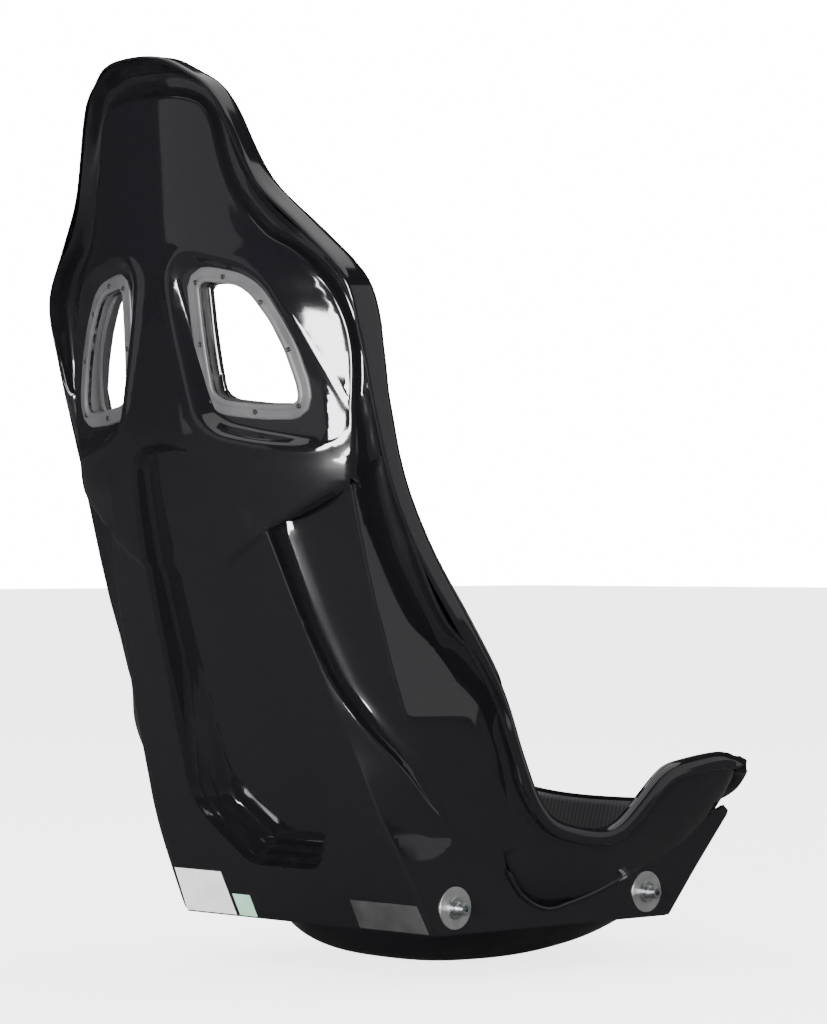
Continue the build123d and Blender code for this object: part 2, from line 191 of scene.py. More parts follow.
bump = w.node("ShaderNodeBump", None, Strength=0.35, Distance=0.0004, Height=tow_height)
w.join(bump.outputs["Normal"], shader.inputs["Normal"])

# ---- Rear shell ----------------------------------------------------------------------------------------
# A thin black moulding that boxes in the bucket: flat back, side panels, a long pleated recess down the
# middle, a tapering scoop on each side, a stepped shoulder panel and a deep cove running round to the rim.
# It is laid up in a two-part mould, so both halves are alike.

to_metres = 0.001
ahead_of_origin = 123.0  # the outlines are measured from the bottom rear edge, in millimetres
above_origin = 51.0
shell_skin = 0.0035


def placed(points):
    """Outline coordinates (x, y, z in millimetres) as metres in the seat's frame."""
    points = np.asarray(points, float)
    return (points + (0.0, ahead_of_origin, above_origin)) * to_metres


def smooth_through(keys, values, at):
    """A curve through values at increasing keys, without the corners of straight runs."""
    keys, values, at = np.asarray(keys, float), np.asarray(values, float), np.asarray(at, float)
    flat = values.ndim == 1
    values = values[:, None] if flat else values
    slopes = np.empty_like(values)
    runs = np.diff(keys)[:, None]
    rises = np.diff(values, axis=0) / runs
    slopes[1:-1] = (rises[:-1] * runs[1:] + rises[1:] * runs[:-1]) / (runs[1:] + runs[:-1])
    slopes[0], slopes[-1] = rises[0], rises[-1]
    shape = at.shape
    at = np.clip(at.ravel(), keys[0], keys[-1])
    index = np.clip(np.searchsorted(keys, at) - 1, 0, len(keys) - 2)
    run = (keys[index + 1] - keys[index])[:, None]
    u = ((at - keys[index])[:, None]) / run
    result = (
        (2 * u**3 - 3 * u**2 + 1) * values[index]
        + (u**3 - 2 * u**2 + u) * run * slopes[index]
        + (3 * u**2 - 2 * u**3) * values[index + 1]
        + (u**3 - u**2) * run * slopes[index + 1]
    )
    return result.reshape(shape) if flat else result.reshape(shape + (values.shape[1],))


def distance_inside(px, pz, outline):
    """Distance from each point to a closed outline, positive inside it."""
    outline = np.asarray(outline, float)
    flat_x, flat_z = np.ravel(px), np.ravel(pz)
    nearest = np.full(flat_x.shape, 1e9)
    inside = np.zeros(flat_x.shape, bool)
    for (ax, az), (bx, bz) in zip(outline, np.roll(outline, -1, axis=0)):
        run_x, run_z = bx - ax, bz - az
        u = np.clip(
            ((flat_x - ax) * run_x + (flat_z - az) * run_z) / (run_x**2 + run_z**2 + 1e-12), 0, 1
        )
        nearest = np.minimum(nearest, np.hypot(flat_x - ax - u * run_x, flat_z - az - u * run_z))
        crosses = (az > flat_z) != (bz > flat_z)
        with np.errstate(divide="ignore", invalid="ignore"):
            at_x = ax + (flat_z - az) / (bz - az) * run_x
        inside ^= crosses & (flat_x < at_x)
    return np.where(inside, nearest, -nearest).reshape(np.shape(px))


def rounded(outline, radius, closed=True):
    """An outline with its corners cut round, as evenly spaced points about 5 mm apart."""
    points = [np.asarray(p, float) for p in outline]
    result = []
    count = len(points)
    for i, corner in enumerate(points):
        if not closed and i in (0, count - 1):
            result.append(corner)
            continue
        before, after = points[i - 1] - corner, points[(i + 1) % count] - corner
        reach = min(radius, 0.45 * np.linalg.norm(before), 0.45 * np.linalg.norm(after))
        start = corner + before / np.linalg.norm(before) * reach
        end = corner + after / np.linalg.norm(after) * reach
        for u in np.linspace(0, 1, 6):
            result.append((1 - u) ** 2 * start + 2 * u * (1 - u) * corner + u**2 * end)
    return resampled(result, 5.0, closed)


def resampled(points, spacing, closed=True):
    """A polyline's points spread evenly along it."""
    points = np.asarray(points, float)
    if closed:
        points = np.vstack([points, points[:1]])
    steps = np.linalg.norm(np.diff(points, axis=0), axis=1)
    along = np.concatenate([[0], np.cumsum(steps)])
    count = max(int(round(along[-1] / spacing)), 4)
    at = np.linspace(0, along[-1], count + 1)
    if closed:
        at = at[:-1]
    return np.stack([np.interp(at, along, points[:, k]) for k in range(points.shape[1])], axis=1)


def grown(outline, amount):
    """A closed outline moved outwards by amount."""
    outline = np.asarray(outline, float)
    along = np.roll(outline, -1, axis=0) - np.roll(outline, 1, axis=0)
    along /= np.linalg.norm(along, axis=1)[:, None]
    out = np.stack([along[:, 1], -along[:, 0]], axis=1)
    area = np.sum(
        outline[:, 0] * np.roll(outline[:, 1], -1) - np.roll(outline[:, 0], -1) * outline[:, 1]
    )
    return outline + out * amount * (1 if area > 0 else -1)


def spread_mesh(edge_loop, inner_loops, open_lines, pitch, hole=None):
    """Triangles over the inside of edge_loop, with edges along every loop and line, and rows at pitch."""
    points = [tuple(p) for p in edge_loop]
    edges = [(i, (i + 1) % len(points)) for i in range(len(points))]
    taken = [np.asarray(edge_loop, float)]
    for loop in inner_loops:
        start = len(points)
        points += [tuple(p) for p in loop]
        edges += [(start + i, start + (i + 1) % len(loop)) for i in range(len(loop))]
        taken.append(np.asarray(loop, float))
    for line in open_lines:
        start = len(points)
        points += [tuple(p) for p in line]
        edges += [(start + i, start + i + 1) for i in range(len(line) - 1)]
        taken.append(np.asarray(line, float))
    taken = np.vstack(taken)
    low, high = taken.min(axis=0), taken.max(axis=0)
    grid_x, grid_z = np.meshgrid(np.arange(low[0], high[0], pitch), np.arange(low[1], high[1], pitch))
    grid_x = grid_x.ravel()
    grid_z = grid_z.ravel()
    keep = distance_inside(grid_x, grid_z, edge_loop) > pitch * 0.45
    grid_x, grid_z = grid_x[keep], grid_z[keep]
    near = np.full(grid_x.shape, 1e9)
    for px, pz in taken:
        near = np.minimum(near, (grid_x - px) ** 2 + (grid_z - pz) ** 2)
    keep = near > (pitch * 0.5) ** 2
    points += list(zip(grid_x[keep], grid_z[keep]))
    verts, _, faces, _, _, _ = delaunay_2d_cdt([Vector(p) for p in points], edges, [], 0, 1e-4)
    flat = np.array([(v.x, v.y) for v in verts])
    faces = np.array([tuple(f) for f in faces])
    centre = flat[faces].mean(axis=1)
    keep = distance_inside(centre[:, 0], centre[:, 1], edge_loop) > 0
    if hole is not None:
        keep &= distance_inside(centre[:, 0], centre[:, 1], hole) < 0
    return flat, faces[keep]


def soft_step(value):
    value = np.clip(value, 0, 1)
    return value * value * (3 - 2 * value)


# The sections of the back, by height: the middle, the crease beside the scoop, the edge of the scoop's
# lower lip and the edge of the side panel.
middle_line = [
    (0, 0), (60, 29), (100, 48), (165, 79), (230, 108), (330, 148), (413, 178), (470, 194), (512, 202),
    (603, 209.5), (660, 213), (724, 216), (768, 218), (820, 220), (861, 222), (925, 225)
]
crease_line = [
    (-10, 201.5, -5), (0, 201.5, -0.3), (33, 199.5, 15.7), (60, 197, 28.8), (92, 193, 44.5),
    (121, 187, 58.5), (154, 181, 71), (188, 174, 84), (227, 166, 99), (279, 158, 118), (330, 148, 136),
    (413, 130, 163), (480, 116, 186)
]
panel_edge = [
    (440, 216, 122), (468, 219, 131), (524, 222, 135), (603, 224, 139), (660, 209, 151),
    (706, 172, 172), (724, 141, 185), (768, 108, 201), (820, 93, 208), (861, 82, 213), (925, 76, 216)
]
panel_crown = 2.8  # how boxy the shoulder panel is across


def rear_middle(z):
    keys = np.array(middle_line)
    return smooth_through(keys[:, 0], keys[:, 1], z)


def rear_crease(z):
    keys = np.array(crease_line)
    return smooth_through(keys[:, 0], keys[:, 1:], z)


def lower_back(x, z):
    """Y of the flat lower back, which is slightly crowned from side to side."""
    crease = rear_crease(z)
    middle = rear_middle(z)
    return middle - (middle - crease[..., 1]) * np.clip(x / crease[..., 0], 0, 1.3) ** 2


def shoulder_panel(x, z):
    """Y of the panel from the ridge up to the head."""
    keys = np.array(panel_edge)
    edge = smooth_through(keys[:, 0], keys[:, 1:], z)
    middle = rear_middle(z)
    return middle - (middle - edge[..., 1]) * np.clip(x / edge[..., 0], 0, 1.3) ** panel_crown


ridge_line = [(40, 376), (70, 386), (129, 421), (175, 447), (226, 474)]
ridge_height = 11.0


def above_ridge(x, z):
    """Distance above the slanting ridge where the shoulder panel steps out over the lower back."""
    keys = np.array(ridge_line, float)
    return (z - np.interp(x, keys[:, 0], keys[:, 1])) * 0.88


pocket_outline = rounded(
    [(0, 514), (36, 511), (55, 494), (70, 385), (88, 265), (115, 138), (104, 112), (56, 62), (0, 62)],
    16.0, closed=False
)
pocket_ring = np.vstack([pocket_outline, [(-x, z) for x, z in pocket_outline[::-1][1:-1]]])
# Inset run of each wall, share of depth.
pocket_pleats = [(0.0, 5.0, 0.34), (11.0, 16.0, 0.62), (22.0, 29.0, 1.0)]


def pocket_depth(x, z):
    """How far the middle recess is sunk, with a pleated wall low down that steepens towards the top."""
    inside = distance_inside(x, z, pocket_ring)
    full = np.interp(z, [62, 150, 300, 514], [40, 34, 26, 19])
    low = soft_step((300 - z) / 160)
    plain = soft_step(inside / 7.0)
    pleated = np.zeros_like(plain)
    last = 0.0
    for start, end, share in pocket_pleats:
        pleated = pleated + (share - last) * soft_step((inside - start) / (end - start))
        last = share
    return full * (plain * (1 - low) + pleated * low)


# Millimetres on the window's plane for each one across and up.
window_turn, window_tilt = 1.0314, 1.0045
window_x, window_z = 118.0, 615.0


def ledge(x, z):
    """Y of the flat ledge round a harness window."""
    return 151.8 - 0.2524 * x + 0.0945 * z


def on_window(outline):
    """An outline on the window's plane as (x, z)."""
    return np.array([(window_x + u / window_turn, window_z + v / window_tilt) for u, v in outline])


opening_plan = [
    (-57, 61), (-50, 65), (-10, 60), (6, 50), (28, 22), (44, -9), (56, -45), (57, -60), (48, -64),
    (8, -63), (-36, -58), (-48, -50), (-52, -20), (-55, 15)
]
recess_plan = [
    (-96, 72), (-82, 92), (-59, 97), (6, 82), (33, 64), (63, 15), (95, -41), (109, -77), (102, -101),
    (70, -111), (15, -105), (-34, -95), (-58, -78), (-73, -26), (-88, 26)
]
opening_ring = rounded(on_window(opening_plan), 9.0)
recess_ring = rounded(on_window(recess_plan), 22.0)
recess_run = 15.0


def back_y(x, z):
    """Y of the whole rear face at (x, z)."""
    above = above_ridge(x, z)
    low, high = lower_back(x, z), shoulder_panel(x, z)
    out = soft_step((x - 45) / 45)  # the ridge fades out where the middle recess cuts it
    beyond = soft_step((x - rear_crease(z)[..., 0] + 25) / 30) * soft_step((z - 405) / 30)
    low = low * (1 - beyond) + (high - ridge_height) * beyond
    step = soft_step((above + 1.5) / 4.5)
    lift = np.maximum(high - low, 0) * (1 - out) + np.clip(high - low, 6.0, 14.0) * out
    blend = soft_step((above - 3) / 75)
    face = low + step * ((1 - blend) * lift + blend * (high - low))
    inside = distance_inside(x, z, recess_ring)
    sunk = np.minimum(face, ledge(x, z))
    wall = soft_step(inside / recess_run)
    lip = 1.6 * np.exp(-((inside + 3.0) / 5.0) ** 2)
    face = face + (sunk - face) * wall + lip
    return face - pocket_depth(x, z)


def length_along(points):
    """Distance from the first point to each point of a polyline."""
    steps = np.diff(np.asarray(points, float), axis=0)
    return np.concatenate([[0], np.cumsum(np.linalg.norm(steps, axis=1))])


seam_inset = 5.0  # the rear face's mesh ends this far inside the crease
ridge_end_height = 474
# The outer edge of the panels, from the middle of the head down to the hip, where the cove begins.
cove_start = [
    (0, 224, 870), (30, 223.5, 869), (58, 221, 866), (78, 216, 858), (88, 212, 842), (93, 208.5, 820),
    (99, 205, 793), (108, 201, 768), (120, 195, 748), (141, 185, 724), (172, 172, 706), (209, 151, 660),
    (220, 143, 630), (224, 139, 603), (223.5, 136, 560), (222, 134, 524), (219.5, 122, 470),
    (218.5, 98, 418), (218, 66, 371), (218, 17, 309), (217.5, -41, 224), (214, -64, 170),
    (209, -88, 118), (206, -98, 80)
]
inner_at = length_along(cove_start)
cove_rows = np.arange(0, inner_at[-1], 5.0)
inner_curve = smooth_through(inner_at, cove_start, cove_rows)
inner_curve[0, 0] = 0.0
rear_part = inner_curve[:, 2] > ridge_end_height
side_heights = np.arange(0, 421, 6.0)
crease_low = np.array([(rear_crease(z)[0] - seam_inset, z) for z in side_heights])
ridge_foot = resampled([(crease_low[-1][0], 420.0), (175, 445), (217, 468)], 6.0, closed=False)[1:]
panel_rim = inner_curve[rear_part][::-1][:, [0, 2]]
rear_edge_loop = np.vstack(
    [
        crease_low, ridge_foot[:-1], panel_rim, [(0, z) for z in np.arange(864, 2, -6.0)],
        [(x, 0) for x in np.arange(0, 193, 6.0)]
    ]
)

loops = [grown(opening_ring, g) for g in (0.0, 6.0)] + [
    grown(recess_ring, g) for g in (7.0, 2.0, -1.5, -5.0, -9.0, -13.0, -16.5)
]
lines = []
pocket_middle = 290
for inset in (-2.0, 0.0, 1.7, 3.4, 5.2, 7.2, 11.0, 13.5, 16.2, 22.0, 24.5, 27.0, 29.5):
    line = grown(pocket_ring, -inset)
    line = line[line[:, 0] > 1.5]
    lines.append(line[np.argsort(-np.arctan2(line[:, 1] - pocket_middle, line[:, 0] + 1e-3))])
for lift in (-2.2, -0.8, 0.8, 2.4, 4.0):
    ridge = resampled([(max(x, 1), z + lift) for x, z in ridge_line[1:]], 5.0, closed=False)
    keep = (
        distance_inside(ridge[:, 0], ridge[:, 1], rear_edge_loop) > 2
    ) & (distance_inside(ridge[:, 0], ridge[:, 1], pocket_ring) < -3)
    lines.append(ridge[keep])
flat, faces = spread_mesh(rear_edge_loop, loops, lines, 6.5, opening_ring)
rear_points = np.stack([flat[:, 0], back_y(flat[:, 0], flat[:, 1]), flat[:, 1]], axis=1)

# Side panels: each section runs from inside the crease, over the scoop, to the flat side.
lip_line = [
    (60, 200, 22), (102, 205.5, -24), (140, 207.5, 12), (181, 208, 53), (215, 192, 82), (253, 171, 102),
    (300, 156, 123), (340, 147, 139), (420, 130, 165)
]
side_edge = [
    (0, 203, -4), (33, 203, 9), (60, 203.5, 16), (102, 207, -27), (150, 213, 6), (190, 217, 32),
    (233, 219, 56), (269, 218.5, 70), (310, 218, 83), (346, 218, 96), (392, 218, 110), (433, 218, 121),
    (480, 219, 133)
]
side_spread = [(0, 203), (60, 203.5), (102, 207), (150, 213), (200, 217.5), (250, 218.5), (480, 219)]
scoop_sink = [(90, 0), (120, 3.0), (180, 9), (260, 15), (340, 19), (420, 22), (480, 22)]
half_turn = math.sqrt(0.5)


def side_section(z):
    """The section at one height as (a, b): a runs round the corner from back to side, b stands out of it."""
    crease = rear_crease(z)
    lip = smooth_through([k[0] for k in lip_line], [k[1:] for k in lip_line], z)
    edge = np.array(
        [np.interp(z, [k[0] for k in side_edge], [k[n] for k in side_edge]) for n in (1, 2)]
    )
    spread = smooth_through([k[0] for k in side_spread], [k[1] for k in side_spread], z)
    start = np.array([crease[0] - seam_inset, lower_back(crease[0] - seam_inset, np.array(float(z)))])
    if z < 102:
        share = (z / 102.0) ** 2
        edge = np.array([spread, crease[1] - 6 - 71 * share])
        lip = (crease + edge) * 0.5 + (0.4, 0.4)
    path = [start, crease, lip]
    sink = np.interp(z, [k[0] for k in scoop_sink], [k[1] for k in scoop_sink])
    chord = edge - lip
    inwards = -np.array([half_turn, half_turn])
    for u in (0.08, 0.2, 0.35, 0.5, 0.65, 0.8, 0.93):
        path.append(lip + chord * u + inwards * sink * (math.sin(math.pi * u**0.62) ** 0.8))
    path += [edge, np.array([spread, -260.0]), np.array([spread, -520.0])]
    path = np.array(path)
    return (path[:, 0] - path[:, 1]) * half_turn, (path[:, 0] + path[:, 1]) * half_turn


section_heights = np.arange(-8, 486, 2.0)
across = np.arange(-60, 520, 1.0)
stack = []
for z in section_heights:
    a, b = side_section(z)
    order = np.maximum.accumulate(a + np.arange(len(a)) * 1e-6)
    stack.append(np.interp(across, order, b))
stack = np.array(stack)
for _ in range(2):  # rounds every edge to about 2 mm
    stack[:, 1:-1] = (stack[:, :-2] + stack[:, 1:-1] + stack[:, 2:]) / 3
stack[1:-1] = (stack[:-2] + stack[1:-1] * 2 + stack[2:]) / 4


def side_point(a, z):
    """A point of the side panel from its place round the corner and its height."""
    row = np.clip((z - section_heights[0]) / 2.0, 0, len(section_heights) - 1.001)
    col = np.clip(a - across[0], 0, len(across) - 1.001)
    r, c = row.astype(int), col.astype(int)
    fr, fc = row - r, col - c
    b = (
        stack[r, c] * (1 - fr) * (1 - fc) + stack[r + 1, c] * fr * (1 - fc)
        + stack[r, c + 1] * (1 - fr) * fc + stack[r + 1, c + 1] * fr * fc
    )
    return np.stack([(a + b) * half_turn, (b - a) * half_turn, z], axis=1)


def round_corner(x, y):
    return (x - y) * half_turn


cove_low = inner_curve[~rear_part]
bottom = [(203, -y, 0) for y in np.arange(10, 356, 8.0)]
front = [(203, -356, 0), (203, -398, 48), (204, -454, 111)]
seam = [
    (204, -446, 117), (204, -375, 90), (204, -311, 60), (204, -248, 35), (204, -202, 24),
    (204, -164, 19), (204, -130, 34), (205, -104, 64)
]
start_line = [(round_corner(x, float(back_y(np.array(x), np.array(z)))), z) for x, z in crease_low]
top_line = resampled([start_line[-1], (round_corner(205, 130), 476)], 6.0, closed=False)[1:]
cove_flat_line = [(round_corner(x, y), z) for x, y, z in cove_low]
rest = [(round_corner(x, y), z) for x, y, z in (bottom + front + seam)][::-1]
side_loop = np.vstack([start_line, top_line, cove_flat_line, resampled(rest, 6.0, closed=False)])
side_lines = []
for shift in (-3.0, -1.5, 0.0, 1.5, 3.0):
    for keys, low, high in ((crease_line, 6, 474), (lip_line, 104, 410), (side_edge, 108, 470)):
        heights = np.arange(low, high, 6.0)
        table = np.array([(k[0], k[1], k[2]) for k in keys], float)
        xy = smooth_through(table[:, 0], table[:, 1:], heights)
        line = np.stack([round_corner(xy[:, 0], xy[:, 1]) + shift, heights], axis=1)
        side_lines.append(line[distance_inside(line[:, 0], line[:, 1], side_loop) > 2.0])
flat_side, faces_side = spread_mesh(side_loop, [], side_lines, 5.0)
side_points = side_point(flat_side[:, 0], flat_side[:, 1])
side_points[:, 2] = flat_side[:, 1]
for i, (x, z) in enumerate(crease_low):
    side_points[i] = (x, back_y(np.array(x), np.array(z)), z)

# The cove: from the panel's edge, down a wall, round a hollow and out along the flange to the rim.
rim_line = [
    (0, 230, 911), (38, 229, 909), (66, 223, 899), (92, 214, 885), (106, 208, 866), (116, 204, 843),
    (125, 199, 822), (134, 194, 802), (143, 189, 781), (156, 183, 761), (176, 175, 740),
    (203, 167, 717), (226, 159, 697), (242, 152, 676), (247, 146, 655), (250, 138, 624),
    (250, 121, 560), (250, 101, 496), (250, 75, 431), (250, 58, 398), (249, 40, 365), (248, 17, 332),
    (244, -26, 298), (240, -54, 264), (236, -79, 230), (232, -95, 196), (231, -110, 153),
    (230, -129, 125)
]
# Stations of cove_start and of rim_line that lie opposite each other.
cove_matches = [
    (0, 0), (4, 3), (5, 4), (8, 8), (9, 10), (10, 11), (11, 13), (13, 15), (15, 16), (16, 17), (17, 19),
    (18, 20), (19, 21), (20, 24), (21, 25), (22, 26), (23, 27)
]
outer_at = length_along(rim_line)
matched = np.interp(
    cove_rows, [inner_at[i] for i, _ in cove_matches], [outer_at[j] for _, j in cove_matches]
)
outer_curve = smooth_through(outer_at, rim_line, matched)
# The cove's section, as shares of its width and depth, where it leaves each kind of panel.
over_rear_panel = np.array(
    [(0, 0), (0.10, 0.10), (0.17, 0.45), (0.22, 0.80), (0.38, 1.0), (0.62, 0.98)]
)
over_side_panel = np.array(
    [(0, 0), (-0.01, 0.15), (0.0, 0.45), (0.08, 0.80), (0.30, 1.0), (0.62, 0.99)]
)
on_rear = inner_curve[rear_part]
inner_curve[rear_part, 1] = back_y(on_rear[:, 0], on_rear[:, 2])
on_side = inner_curve[~rear_part]
inner_curve[~rear_part] = side_point(round_corner(on_side[:, 0], on_side[:, 1]), on_side[:, 2])
flange_back, flange_inside = 9.0, 3.0  # the flange ends behind the rolled edge, this far from its front
cove_points = []
cove_columns = 22
for i, (start, end) in enumerate(zip(inner_curve, outer_curve)):
    along = inner_curve[min(i + 2, len(inner_curve) - 1)] - inner_curve[max(i - 2, 0)]
    if i == 0:
        along = np.array([1.0, 0.0, 0.0])
    along = along / np.linalg.norm(along)
    forward = np.array([0.0, -1.0, 0.0])
    forward = forward - along * (forward @ along)
    forward /= np.linalg.norm(forward)
    out = np.cross(along, forward)
    out *= np.sign(out @ (end - start))
    width, ahead = (end - start) @ out, (end - start) @ forward
    drift = (end - start) - out * width - forward * ahead
    deep = max(float(np.interp(start[2], [700, 850, 900], [13.0, 12.0, 9.0])), ahead + 1.0)
    # The panel faces the side low down and the rear higher up.
    turned = float(soft_step((start[2] - 440) / 80))
    keys = turned * over_rear_panel + (1 - turned) * over_side_panel
    spine = [start + out * width * u + forward * deep * v + drift * u for u, v in keys]
    spine.append(end - forward * flange_back - out * flange_inside)
    spine = np.array(spine)
    reach = length_along(spine)
    cove_points.append(smooth_through(reach, spine, np.linspace(0, reach[-1], cove_columns)))
cove_points = np.array(cove_points)
cove_points[0, :, 0] = 0.0


def grid_faces(rows, columns):
    index = np.arange(rows * columns).reshape(rows, columns)
    return np.stack(
        [index[:-1, :-1], index[1:, :-1], index[1:, 1:], index[:-1, 1:]], axis=-1
    ).reshape(-1, 4)


def plain_mesh(name, points, faces, cloth=None):
    """A mesh object from points in metres, smooth, with an optional cloth map."""
    mesh = bpy.data.meshes.new(name)
    mesh.from_pydata([tuple(p) for p in points], [], [tuple(int(i) for i in f) for f in faces])
    if cloth is not None:
        layer = mesh.uv_layers.new(name="cloth")
        loop_verts = np.empty(len(mesh.loops), int)
        mesh.loops.foreach_get("vertex_index", loop_verts)
        layer.data.foreach_set("uv", np.asarray(cloth, np.float32)[loop_verts].ravel())
    mesh.shade_smooth()
    made = bpy.data.objects.new(name, mesh)
    bpy.context.collection.objects.link(made)
    return made


def mesh_tools(made, merge=None, skin=None, mirror=False):
    """Closes a piece: mirrors it, merges doubled points and gives a skin its thickness, all applied."""
    if mirror:
        tool = made.modifiers.new("mirror", "MIRROR")
        tool.merge_threshold = 2e-5
    if merge:
        tool = made.modifiers.new("weld", "WELD")
        tool.merge_threshold = merge
    if skin:
        tool = made.modifiers.new("skin", "SOLIDIFY")
        tool.thickness = skin
        tool.offset = -1.0
        tool.use_even_offset = False
    evaluated = made.evaluated_get(bpy.context.evaluated_depsgraph_get())
    mesh = bpy.data.meshes.new_from_object(evaluated)
    made.modifiers.clear()
    made.data = mesh
    return made


def consistent(points, faces, direction):
    """All faces turned one way, the way that most of their area faces along direction."""
    corners = points[faces]
    normal = np.cross(corners[:, 1] - corners[:, 0], corners[:, 2] - corners[:, 0])
    return faces if np.sum(normal @ np.asarray(direction)) > 0 else faces[:, ::-1]


def facing_out(points, faces, middles):
    """Faces turned so that most of them look away from their own point of middles."""
    corners = points[faces]
    normal = np.cross(corners[:, 1] - corners[:, 0], corners[:, 2] - corners[:, 0])
    return faces[:, ::-1] if np.sum(normal * (corners.mean(axis=1) - middles)) < 0 else faces


# A small hem finishes the side panel's edge where it lies against the bucket.
seam_at = length_along(seam)
hem_line = smooth_through(seam_at, seam, np.linspace(0, seam_at[-1], 120))
hem_line = resampled(hem_line, 5.0, closed=False)
hem_radius, hem_sides = 2.6, 8
hem_rings = []
for i, point in enumerate(hem_line):
    run = hem_line[min(i + 1, len(hem_line) - 1)] - hem_line[max(i - 1, 0)]
    run /= np.linalg.norm(run)
    out = np.array([1.0, 0, 0])
    up = np.cross(run, out)
    taper = 0.3 if i in (0, len(hem_line) - 1) else 1.0
    angles = np.arange(hem_sides) * 2 * math.pi / hem_sides
    hem_rings.append(
        [point + (out * math.cos(k) + up * math.sin(k)) * hem_radius * taper for k in angles]
    )
hem_rings = np.array(hem_rings)
hem_count = len(hem_line)
index = np.arange(hem_count * hem_sides).reshape(hem_count, hem_sides)
hem_faces = np.stack(
    [index[:-1], index[1:], np.roll(index[1:], -1, axis=1), np.roll(index[:-1], -1, axis=1)], axis=-1
).reshape(-1, 4)
hem_points = hem_rings.reshape(-1, 3)
hem_middle = np.repeat(hem_line, hem_sides, axis=0)[hem_faces[:, 0]]
hem_faces = facing_out(hem_points, hem_faces, hem_middle)
faces = consistent(rear_points, faces, (0, 1, 0))
faces_side = consistent(side_points, faces_side, (1, 0, 0))
cove_flat = cove_points.reshape(-1, 3)
cove_faces = consistent(cove_flat, grid_faces(len(cove_rows), cove_columns), (1, 0.5, 0))
all_points = np.vstack([rear_points, side_points, cove_flat])
all_faces = [tuple(f) for f in faces]
all_faces += [tuple(f + len(rear_points)) for f in faces_side]
all_faces += [tuple(f + len(rear_points) + len(side_points)) for f in cove_faces]
rear_shell = plain_mesh("rear_shell", placed(all_points), all_faces)
caps = [tuple(range(hem_sides)), tuple(range((hem_count - 1) * hem_sides, hem_count * hem_sides))[::-1]]
hem = plain_mesh("rear_shell_hem", placed(hem_points), [tuple(f) for f in hem_faces] + caps)
mesh_tools(hem, mirror=True)
hem.data.materials.append(gelcoat)
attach(hem, "root")
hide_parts("outer_shell")
mesh_tools(rear_shell, mirror=True, merge=3e-5, skin=shell_skin)
rear_shell.data.materials.append(gelcoat)
rear_shell.data.set_sharp_from_angle(angle=math.radians(50))
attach(rear_shell, "root")
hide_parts("outer_shell")

# ---- Bucket --------------------------------------------------------------------------------------------
# One carbon laminate from the head, down the back and along the pan to the front lip. Its inside shows
# the twill, its underside has the rear shell's gelcoat, and its edge is a gelcoated, rolled-back bullnose.

bucket_stations = [
    ((230, 905), (56, 223, 894), 1.0), ((222, 891), (82, 215, 881), 0.7),
    ((213, 870), (99, 208, 862), 0.4), ((207, 846), (110, 203, 842), 0.3),
    ((203, 822), (118, 199, 822), 0.2), ((198, 770), (144, 186, 768), 0.1),
    ((195, 728), (186, 169, 725), 0.1), ((191, 680), (232, 152, 677), 0.1),
    ((185, 615), (242, 134, 612), 0.2), ((175, 545), (242, 115, 543), 0.3),
    ((157, 470), (242, 91, 468), 0.4), ((128, 390), (242, 51, 395), 0.5),
    ((92, 310), (239, -10, 318), 0.6), ((54, 230), (229, -66, 252), 0.6),
    ((18, 145), (224, -103, 180), 0.5), ((-8, 60), (223, -129, 132), 0.45),
    ((-26, 5), (223, -152, 110), 0.5), ((-65, -30), (223, -188, 100), 0.85),
    ((-125, -46), (224, -220, 95), 1.0), ((-195, -51), (225, -252, 100), 1.0),
    ((-270, -49), (226, -288, 128), 1.0), ((-340, -38), (227, -325, 158), 1.0),
    ((-400, -12), (227, -362, 166), 1.0), ((-438, 30), (226, -402, 170), 1.0),
    ((-456, 72), (221, -434, 169), 1.0), ((-464, 98), (209, -453, 162), 1.0),
    ((-468, 112), (190, -464, 152), 1.0),
]
bucket_skin = 0.004
bucket_rows, bucket_half_columns = 200, 48
wall_roundness, dish_power = 2.35, 1.6
bolster_from, bolster_run = 154, 42
hip_height, hip_run = 205, 55
station_at = length_along([(m[0], m[1]) for m, _, _ in bucket_stations])
table = np.array([(m[0], m[1], r[0], r[1], r[2], u) for m, r, u in bucket_stations], float)
rows = smooth_through(station_at, table, np.linspace(0, station_at[-1], bucket_rows))
turns = np.linspace(-1, 1, bucket_half_columns * 2 + 1)
shares = np.sin(np.abs(turns) * math.pi / 2) ** (2 / wall_roundness) * np.sign(turns)
bowls = 1 - np.clip(np.cos(turns * math.pi / 2), 0, 1) ** (2 / wall_roundness)
bucket_points, bucket_cloth = [], []
for row, at in zip(rows, np.linspace(0, station_at[-1], bucket_rows)):
    middle, rim, half, upright = row[:2], row[3:5], row[2], row[5]
    rise = (1 - upright) * np.abs(shares) ** dish_power + upright * bowls
    beside = soft_step((np.abs(half * shares) - bolster_from) / bolster_run)
    beside = beside * soft_step((rim[1] - hip_height) / hip_run)
    rise = rise + (1 - rise) * beside  # the bolsters fill the space beside the sitter
    line = np.stack(
        [
            half * shares, middle[0] + (rim[0] - middle[0]) * rise,
            middle[1] + (rim[1] - middle[1]) * rise
        ],
        axis=1
    )
    bucket_points.append(line)
    reach = length_along(line)
    bucket_cloth.append(np.stack([reach - reach[len(reach) // 2], np.full(len(line), at)], axis=1))
bucket_points = np.array(bucket_points)
bucket_cloth = np.array(bucket_cloth) * to_metres
